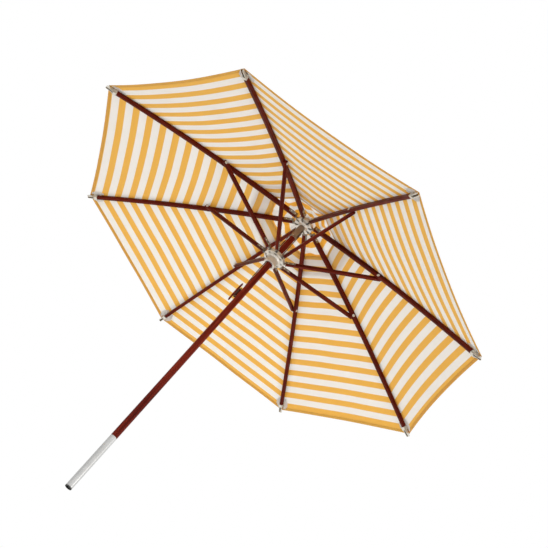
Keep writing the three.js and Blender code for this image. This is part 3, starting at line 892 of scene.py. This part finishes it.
def smoothRoute(points, spacing):  # a centripetal curve through the points, evenly sampled
    ends = [points[0] * 2 - points[1], *points, points[-1] * 2 - points[-2]]
    fine = []
    for i in range(1, len(ends) - 2):
        a, b, c, d = ends[i - 1:i + 3]
        gaps = [max(1e-4, math.sqrt((q - p).length)) for p, q in ((a, b), (b, c), (c, d))]
        startTangent = ((b - a) / gaps[0] - (c - a) / (gaps[0] + gaps[1]) + (c - b) / gaps[1]) * gaps[1]
        endTangent = ((c - b) / gaps[1] - (d - b) / (gaps[1] + gaps[2]) + (d - c) / gaps[2]) * gaps[1]
        steps = max(4, int((c - b).length / spacing * 2))
        for step in range(steps):
            t = step / steps
            fine.append(b * (2 * t ** 3 - 3 * t ** 2 + 1) + startTangent * (t ** 3 - 2 * t ** 2 + t)
                        + c * (3 * t ** 2 - 2 * t ** 3) + endTangent * (t ** 3 - t ** 2))
    fine.append(points[-1])
    even = [fine[0]]
    left = spacing
    for p, q in zip(fine, fine[1:]):
        length = (q - p).length
        while length >= left:
            p = p.lerp(q, left / length)
            even.append(p)
            length = (q - p).length
            left = spacing
        left -= length
    return even


def ropePiece(name, route, material):
    sides = 16
    across = outward
    rings = []
    uvs = []
    travelled = 0.0
    before = route[0]
    for i, point in enumerate(route):
        tangent = (route[min(i + 1, len(route) - 1)] - route[max(i - 1, 0)]).normalized()
        across = (across - tangent * across.dot(tangent)).normalized()
        other = tangent.cross(across)
        travelled += (point - before).length
        before = point
        twist = 2 * math.pi * travelled / rope["braid"]
        ring = []
        for j in range(sides):
            turn = 2 * math.pi * j / sides
            lobe = math.cos(rope["lobes"] * turn + twist) * math.cos(rope["lobes"] * turn - twist)
            radius = rope["radius"] * (0.95 + 0.07 * lobe)
            ring.append(point + across * radius * math.cos(turn) + other * radius * math.sin(turn))
        rings.append(ring)
        uvs.append([(travelled, j / sides) for j in range(sides)])
    lump = Lump()
    lump.skin(rings, uvs)
    return lump.piece(name, material, "braided_rope", 60, "lay")


def makeRope(material):
    fall = ropePiece("hoistRopeFall", smoothRoute(ropeRoute(), rope["spacing"]), material)
    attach(fall, "pole")
    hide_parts("hoist_rope_fall")
    low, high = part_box("hoist_rope_lift")
    start = hoistTurn @ Vector((0, -rope["reach"], high.z))
    end = hoistTurn @ Vector((0, -rope["reach"], low.z))
    steps = int((start - end).length / rope["spacing"])
    lift = ropePiece("hoistRopeLift", [start.lerp(end, i / steps) for i in range(steps + 1)], material)
    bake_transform(lift)
    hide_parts("hoist_rope_lift")


cloth = {
    "thickness": 0.0012,
    "rise": 0.018,  # above the line of the ribs
    "bulge": 0.016,  # how far the cloth draws in between two ribs, as a share of its reach
    "sag": 0.014,
    "wave": 0.0016,  # slack in the cloth
    "edges": (0.235, 0.400, 0.620, 0.940, 1.344),  # from the vent through the bands' joints to the hem
    "columns": 20,
    "rowStep": 0.034,
    "foldAngle": 70,
    "tuckAt": 0.36,  # where in a band the fold is measured
    "ventHem": 0.012,
    "hemWidth": 0.017,
    "hemPast": 0.0015,  # past the cloth's edge
    "hemHalf": 0.0015,  # half the thickness of a hem
    "seamHalf": 0.0075,
    "seamEnds": (0.012, 0.024),  # from the vent, and from the hem
    "seamSteps": 34,
    "spare": (1.02, 1.09),  # flat width and length, over those measured across the half gore
}
cap = {
    "hole": 0.012, "rise": 0.031, "sag": 0.004, "ripple": 0.0075,
    "edges": (0.110, 0.220, 0.370), "rows": 8, "crownRows": 12, "crownColumns": 12,
    "hemWidth": 0.014, "hemPast": 0.001, "stripeStart": 0.352, "stripeStep": 0.0835,
    "crownFold": (0.036, 0.100),  # between these reaches the crown goes from the pole to the ribs
    "crownSpare": (1.04, 1.15),
}

# where the outermost cream stripe begins in each gore, and the stripes' spacing, from rib 1 round
stripeStarts = (1.247, 1.260, 1.279, 1.277, 1.252, 1.273, 1.205, 1.262)
stripeSteps = (0.0825, 0.0819, 0.0836, 0.0842, 0.0834, 0.0874, 0.0880, 0.0844)


# radius and height of a cloth that is stretched over the ribs, at an angle from one of them
def goreSurface(reach, turn, rise, sag):
    fromMiddle = math.tan(halfGore - abs(turn)) / math.tan(halfGore)
    between = 1 - fromMiddle * fromMiddle
    chordReach = reach * (1 - cloth["bulge"] * between)
    radius = chordReach * math.cos(halfGore) / math.cos(halfGore - abs(turn))
    hang = sag * between * min(reach, 0.9 + 0.2 * reach)
    return radius, ribLine(chordReach) + rise - hang


def canopyPoint(number, reach, turn, lift=0.0):
    radius, height = goreSurface(reach, turn, cloth["rise"] + lift, cloth["sag"])
    across = math.sin(abs(turn) / halfGore * math.pi / 2)
    gore = (number - 1 if turn >= 0 else number - 2) % ribCount
    fromRib = abs(turn) if turn >= 0 else 2 * halfGore - abs(turn)
    height += cloth["wave"] * across * math.sin(reach * 9 + gore * 2.1) * math.sin(fromRib * 14 + gore)
    return spoke(number) @ Vector((radius * math.cos(turn), radius * math.sin(turn), height))


def capPoint(number, reach, turn, lift=0.0):
    radius, height = goreSurface(reach, turn, cap["rise"] + lift, cap["sag"])
    around = (number - 1) * 2 * halfGore + turn
    middle = math.sin(min(1.0, reach / cap["edges"][-1]) * math.pi) ** 2
    ripple = math.sin(around * 11 + reach * 30) + 0.7 * math.sin(around * 7 - reach * 44 + 1.3)
    height += cap["ripple"] * middle * ripple
    return spoke(number) @ Vector((radius * math.cos(turn), radius * math.sin(turn), height))


# A closed thin sheet over rows of reaches and columns of turns. Its normals come from the surface
# itself, so that neighbouring sheets meet unseen.
def sheetPiece(name, number, surface, reaches, turns, thickness, material, uvOf):
    rows = len(reaches) - 1
    columns = len(turns) - 1
    size = (rows + 1) * (columns + 1)
    points = [surface(number, reach, turn, layer * thickness)
              for layer in (0, 1) for reach in reaches for turn in turns]
    faces = []
    normals = []
    uvs = []

    def pointAt(i, j):
        return i * (columns + 1) + j

    def normalAt(i, j, inward):  # inward points from the corner into its face
        reach, turn = reaches[i], turns[j]
        aside = surface(number, reach, turn + inward * 0.0008, 0) - surface(number, reach, turn, 0)
        out = surface(number, reach + 0.001, turn, 0) - surface(number, reach - 0.001, turn, 0)
        return out.cross(aside * inward).normalized()

    def addFace(corners, layer):
        faces.append(tuple(layer * size + pointAt(i, j) for i, j, inward in corners))
        for i, j, inward in corners:
            normal = normalAt(i, j, inward)
            normals.append(normal if layer else -normal)
            uvs.append(uvOf(reaches[i], turns[j], inward))

    for i in range(rows):
        for j in range(columns):
            corners = [(i, j, 1), (i + 1, j, 1), (i + 1, j + 1, -1), (i, j + 1, -1)]
            addFace(corners, 1)
            addFace(list(reversed(corners)), 0)
    rim = [((i + 1, 0), (i, 0)) for i in range(rows)]
    rim += [((i, columns), (i + 1, columns)) for i in range(rows)]
    rim += [((0, j), (0, j + 1)) for j in range(columns)]
    rim += [((rows, j + 1), (rows, j)) for j in range(columns)]
    for near, far in rim:
        a, b = pointAt(*near), pointAt(*far)
        faces.append((b, a, a + size, b + size))
        normal = (points[a] - points[b]).cross(upward).normalized()
        for i, j in (far, near, near, far):
            normals.append(normal)
            uvs.append(uvOf(reaches[i], turns[j], 1 if j < columns else -1))
    return makePiece(name, points, faces, material, 35, "cut", uvs, normals)


def stripeUv(number):  # counts the stripes of the gore on either side of the rib
    def place(reach, turn, inward):
        onLeft = turn < -1e-6 or (abs(turn) <= 1e-6 and inward < 0)
        gore = (number - 2 if onLeft else number - 1) % ribCount
        return (reach - stripeStarts[gore]) / stripeSteps[gore], reach * turn
    return place


def capUv(reach, turn, inward):
    return (reach - cap["stripeStart"]) / cap["stripeStep"], reach * turn


# directions from a rib across its cloth: both sides, or only the one that hand says
def turnsAcross(count, hand=0):
    if hand:
        return [halfGore * (j / count - (hand < 0)) for j in range(count + 1)]
    return [halfGore * (2 * j / count - 1) for j in range(count + 1)]


# How half a gore folds in towards its rib: along which line, from where, and how far,
# so that its outer edge ends midway between two folded ribs.
def tuck(number, surface, start, end, hand):
    reach = start + (end - start) * cloth["tuckAt"]
    slope = ribTilt(reach)
    along = Vector((math.cos(slope), 0, -math.sin(slope)))
    root = surface(1, reach, 0.0)
    away = surface(1, reach, hand * halfGore) - root
    across = away - along * away.dot(along)
    fold = Matrix.Rotation(math.radians(cloth["foldAngle"]), 3, "Y")
    folded = fold @ (root + along * away.dot(along) - Vector((hubPin.x, 0, hubPin.z)))
    step = fold @ across
    halfSpread = math.tan(halfGore)
    keep = halfSpread * (folded.x + hubPin.x) / (abs(step.y) - halfSpread * step.x)
    turn = spoke(number)
    return tuple(turn.to_3x3() @ across.normalized()), tuple(turn @ root), min(1.0, keep)


def declareSheet(piece, width, length):
    oneLayer = sum(polygon.area for polygon in piece.data.polygons) / 2
    area = min(oneLayer, width * length)


def declareHalf(piece, start, end):
    widthSpare, lengthSpare = cloth["spare"]
    width = end * math.tan(halfGore) * widthSpare
    declareSheet(piece, width, (end - start) * lengthSpare)


# a strip folded round the cloth's edge: a little thicker than the sheet on both sides
def makeHem(name, number, surface, start, end, turns, material):
    def wrapped(count, reach, turn, side):  # side is 0 under the cloth and 1 on top of it
        half = cloth["hemHalf"] - (0.0006 if reach in (start, end) else 0.0)
        return surface(count, reach, turn, cloth["thickness"] / 2 + (half if side else -half))

    def place(reach, turn, inward):
        return reach * turn, (reach - start) / (end - start)

    reaches = [start, start + 0.001, (start + end) / 2, end - 0.001, end]
    piece = sheetPiece(name, number, wrapped, reaches, turns, 1.0, material, place)
    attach(piece, f"rib_{number}")
    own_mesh(piece)
    return piece


def makeCanopy(number, finishes):
    edges = cloth["edges"]
    for band, (start, end) in enumerate(zip(edges, edges[1:])):
        rows = max(2, round((end - start) / cloth["rowStep"]))
        for hand, side in ((-1, "left"), (1, "right")):
            turns = turnsAcross(cloth["columns"] // 2, hand)
            folding = tuck(number, canopyPoint, start, end, hand)
            piece = sheetPiece(f"canopyCloth_{number}_{band + 1}_{side}", number, canopyPoint,
                               evenSteps(start, end, rows), turns, cloth["thickness"],
                               finishes["canvas"], stripeUv(number))
            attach(piece, f"rib_{number}")
            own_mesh(piece)
            if start == edges[0]:
                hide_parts(f"canopy_section_{number}")
                makeHem(f"ventHem_{number}_{side}", number, canopyPoint,
                                      start, start + cloth["ventHem"], turns, finishes["tape"])
            if end == edges[-1]:
                makeHem(f"hemTape_{number}_{side}", number, canopyPoint,
                                      end - cloth["hemWidth"], end + cloth["hemPast"],
                                      turns, finishes["tape"])
            declareHalf(piece, start, end)


def makeSeamTape(number, material):  # the felled seam on top of each rib
    start, end = cloth["edges"][0] + cloth["seamEnds"][0], cloth["edges"][-1] - cloth["seamEnds"][1]
    half = cloth["seamHalf"]
    edge = -0.0010 - half * 0.10
    profile = (
        (0, -0.0006), (half, edge - 0.0002), (half, edge + 0.0006), (half * 0.5, 0.0004),
        (0, 0.0010), (-half * 0.5, 0.0004), (-half, edge + 0.0006), (-half, edge - 0.0002))
    rings = []
    uvs = []
    for reach in evenSteps(start, end, cloth["seamSteps"]):
        slope = ribTilt(reach)
        up = Vector((math.sin(slope), 0, math.cos(slope)))
        middle = Vector((reach, 0, ribLine(reach) + cloth["rise"] + cloth["thickness"]))
        rings.append([spoke(number) @ (middle + sideways * a + up * b) for a, b in profile])
        uvs.append([(reach, 0.5 + a / half * 0.5) for a, b in profile])
    lump = Lump()
    lump.skin(rings, uvs)
    piece = lump.piece(f"seamTape_{number}", material, "striped_canvas", 50, "cut")
    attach(piece, f"rib_{number}")


canopyCorner = {
    "patch": ((1.262, 0.012), (1.290, 0.030), (1.318, 0.034), (1.338, 0.020)),  # reach, and width
    "ribSide": 0.0105,  # where the patch begins beside the rib
    "tongueCorner": 0.0010,
    "tongue": (  # along the tip, above it, width, depth
        (0.006, 0.0155, 0.0090, 0.0026), (0.014, 0.0128, 0.0088, 0.0032), (0.024, 0.0075, 0.0086, 0.0046),
        (0.034, 0.0020, 0.0084, 0.0070), (0.043, -0.0006, 0.0080, 0.0074), (0.0475, -0.0008, 0.0070, 0.0050)),
}


def makeCornerPatch(number, material):  # the pale patch sewn under the corner, on both sides of the rib
    shares = (0.0, 0.33, 0.66, 1.0)
    lump = Lump()
    for side in (-1, 1):
        rings = []
        uvs = []
        for reach, width in canopyCorner["patch"]:
            ring = []
            line = []
            for lift, order in ((-0.0009, shares), (-0.0001, reversed(shares))):
                for share in order:
                    turn = side * math.atan2(canopyCorner["ribSide"] + width * share, reach)
                    ring.append(canopyPoint(number, reach, turn, lift))
                    line.append((reach, 0.5 + side * share * 0.5))
            rings.append(ring if side > 0 else list(reversed(ring)))
            uvs.append(line)
        lump.skin(rings, uvs)
    piece = lump.piece(f"cornerPatch_{number}", material, "striped_canvas", 50, "cut")
    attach(piece, f"rib_{number}")


# the tongue's dark brown colour is painted shade inside the prongs
def makeCornerTongue(number, material):  # the folded point of the cloth, pinned between the prongs
    place = tipPlace(number)
    turn = place.to_3x3()
    stations = [(place @ Vector((along, 0, up)), turn @ sideways, turn @ upward, width, depth)
                for along, up, width, depth in canopyCorner["tongue"]]
    lump = Lump()
    lump.skin(*barRings(stations, canopyCorner["tongueCorner"], 0.0))
    piece = lump.piece(f"cornerTongue_{number}", material, "striped_canvas", 50, "cut")
    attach(piece, f"rib_{number}")


def makeCap(number, finishes):
    edges = cap["edges"]
    for band, (start, end) in enumerate(zip(edges, edges[1:])):
        for hand, side in ((-1, "left"), (1, "right")):
            turns = turnsAcross(cloth["columns"] // 2, hand)
            folding = tuck(number, capPoint, start, end, hand)
            piece = sheetPiece(f"capCloth_{number}_{band + 1}_{side}", number, capPoint,
                               evenSteps(start, end, cap["rows"]), turns, cloth["thickness"],
                               finishes["capCanvas"], capUv)
            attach(piece, f"rib_{number}")
            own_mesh(piece)
            if end == edges[-1]:
                makeHem(f"capHem_{number}_{side}", number, capPoint,
                                      end - cap["hemWidth"], end + cap["hemPast"],
                                      turns, finishes["tape"])
                if number == 1:
                    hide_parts("vent_cap")
            declareHalf(piece, start, end)


def makeCrown(number, material):
    hole, bend = cap["hole"], cap["edges"][0]
    crown = sheetPiece(f"capCrown_{number}", number, capPoint, evenSteps(hole, bend, cap["crownRows"]),
                       turnsAcross(cap["crownColumns"]), cloth["thickness"], material, capUv)
    height = upward * (ribLine(bend) + cap["rise"])
    away = spoke(number) @ outward
    start, end = [away * reach + height for reach in cap["crownFold"]]
    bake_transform(crown)
    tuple(start)
    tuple(end)
    widthSpare, lengthSpare = cap["crownSpare"]
    declareSheet(crown, 2 * bend * math.tan(halfGore) * widthSpare, (bend - hole) * lengthSpare)


studio = {
    "skyLight": 1.02,
    "skyShade": 0.60,
    "shadeSide": (-0.72, 0.30, -0.63),  # towards the darker side of the sky
    "shadeSpread": 0.85,
    "lamps": {
        "keyLamp": {"place": (3.4, -3.2, 0.4), "power": 45, "size": 1.6, "tint": (1.0, 0.98, 0.95)},
        "topLamp": {"place": (0.6, 1.4, 5.2), "power": 110, "size": 3.0, "tint": (1.0, 1.0, 1.0)},
    },
    "aim": (0.0, 0.0, 1.5),
    "floorTint": (0.86, 0.86, 0.85),
    "floorRough": 0.7,
    "floorSize": 14.0,
    "floorDrop": 0.002,
}


def makeFloor():  # seen from above only
    half = studio["floorSize"] / 2
    height = cadLow.z - studio["floorDrop"]
    corners = [(-half, -half, height), (half, -half, height), (half, half, height), (-half, half, height)]
    mesh = bpy.data.meshes.new("studioFloor")
    mesh.from_pydata(corners, [], [(0, 1, 2, 3)])
    finish = Finish("studioFloor")
    cloud = finish.noise(finish.place(), 3.0, 2.0)
    colour = finish.shade(studio["floorTint"], finish.ramp(cloud, 0.98, 1.0))
    paint = finish.surface({"Base Color": colour, "Roughness": studio["floorRough"]})
    clear = finish.node("ShaderNodeBsdfTransparent")
    below = finish.node("ShaderNodeNewGeometry", None, None, "Backfacing")
    mesh.materials.append(finish.close(finish.either(below, paint, clear)))
    floor = bpy.data.objects.new("studioFloor", mesh)
    bpy.context.scene.collection.objects.link(floor)


def makeSky():  # plain white to the camera, and shaded towards one side for the light it gives
    sky = Finish("studioSky", "worlds")
    where = sky.node("ShaderNodeTexCoord", None, None, "Generated")
    side = tuple(Vector(studio["shadeSide"]).normalized())
    facing = sky.node("ShaderNodeVectorMath", {"operation": "DOT_PRODUCT"}, {0: where, 1: side}, "Value")
    light = sky.ramp(facing, studio["skyLight"], studio["skyShade"], 0.0, studio["shadeSpread"])
    seen = sky.node("ShaderNodeLightPath", None, None, "Is Camera Ray")
    glow = sky.node("ShaderNodeBackground", None, {
        "Color": (1, 1, 1, 1), "Strength": seen + (1 - seen) * light})
    bpy.context.scene.world = sky.close(glow, "ShaderNodeOutputWorld")


def makeLamps():
    aim = Vector(studio["aim"])
    for name, facts in studio["lamps"].items():
        lamp = bpy.data.lights.new(name, "AREA")
        lamp.energy = facts["power"]
        lamp.size = facts["size"]
        lamp.color = facts["tint"]
        holder = bpy.data.objects.new(name, lamp)
        holder.location = facts["place"]
        holder.rotation_euler = (aim - Vector(facts["place"])).to_track_quat("-Z", "Y").to_euler()
        bpy.context.scene.collection.objects.link(holder)


def paintNodes(finishes):  # finishes for the parts that stay as the frame has them
    painted = {
        "top_hub": "cast", "runner_hub": "cast", "sheave": "fitting",
        "rib_bracket": "fitting", "strut_bracket": "fitting", "rib_tip": "screw",
    }
    for name, node in frame["nodes"].items():
        for start, finish in painted.items():
            if name.startswith(start):
                for slot in node.material_slots:
                    slot.material = finishes[finish]


makeCamera()
makeFloor()
makeSky()
makeLamps()
print("camera and stage ready")

finishes = {
    "ribWood": varnishedWood("ribVarnish", wood["ribLift"]),
    "poleWood": varnishedWood("poleVarnish", wood["poleLift"]),
    "tube": wornMetal("brushedTube"),
    # brackets and sheave darkened partly as painted reflection of dark surroundings
    "fitting": wornMetal("darkFittingPaintedReflection"),
    "sleeve": wornMetal("sleeveMetal"),
    "screw": wornMetal("screwMetal"),
    "cast": castMetal(),
    "plastic": mouldedPlastic(),
    "rope": braidedCord(),
    "canvas": stripedCanvas("stripedCanvas", canvas["glow"]),
    "capCanvas": stripedCanvas("capCanvas", canvas["capGlow"]),
    "tape": stitchedTape("hemTape", canvas["tape"]),
    "creamTape": stitchedTape("seamTape", canvas["cream"]),
    # the corner tongues are coloured dark brown as painted shade
    "tongue": stitchedTape("cornerTapePaintedShade", canvas["tongue"]),
}
paintNodes(finishes)
print("finishes mixed")

makePoleWood(finishes["poleWood"])
makeFootTube(finishes["tube"])
makeFootPlug(finishes["plastic"])
makeHeadSleeve(finishes["sleeve"])
makePoleScrews(finishes["screw"])
makeFinial(finishes["poleWood"])
makeCleat(finishes["poleWood"])
makeCleatScrews(finishes["screw"])
makeRope(finishes["rope"])
print("pole and rope made")

for number in range(1, ribCount + 1):
    makeRib(number, finishes["ribWood"])
    makeStrut(number, finishes["ribWood"])
    makeRibFixings(number, finishes["screw"])
    makeStrutScrews(number, finishes["screw"])
    makeTipRivets(number, finishes["screw"])
print("ribs and struts made")

for number in range(1, ribCount + 1):
    makeCanopy(number, finishes)
    makeSeamTape(number, finishes["creamTape"])
    makeCornerPatch(number, finishes["creamTape"])
    makeCornerTongue(number, finishes["tongue"])
    makeCap(number, finishes)
    makeCrown(number, finishes["capCanvas"])
print("canopy sewn")
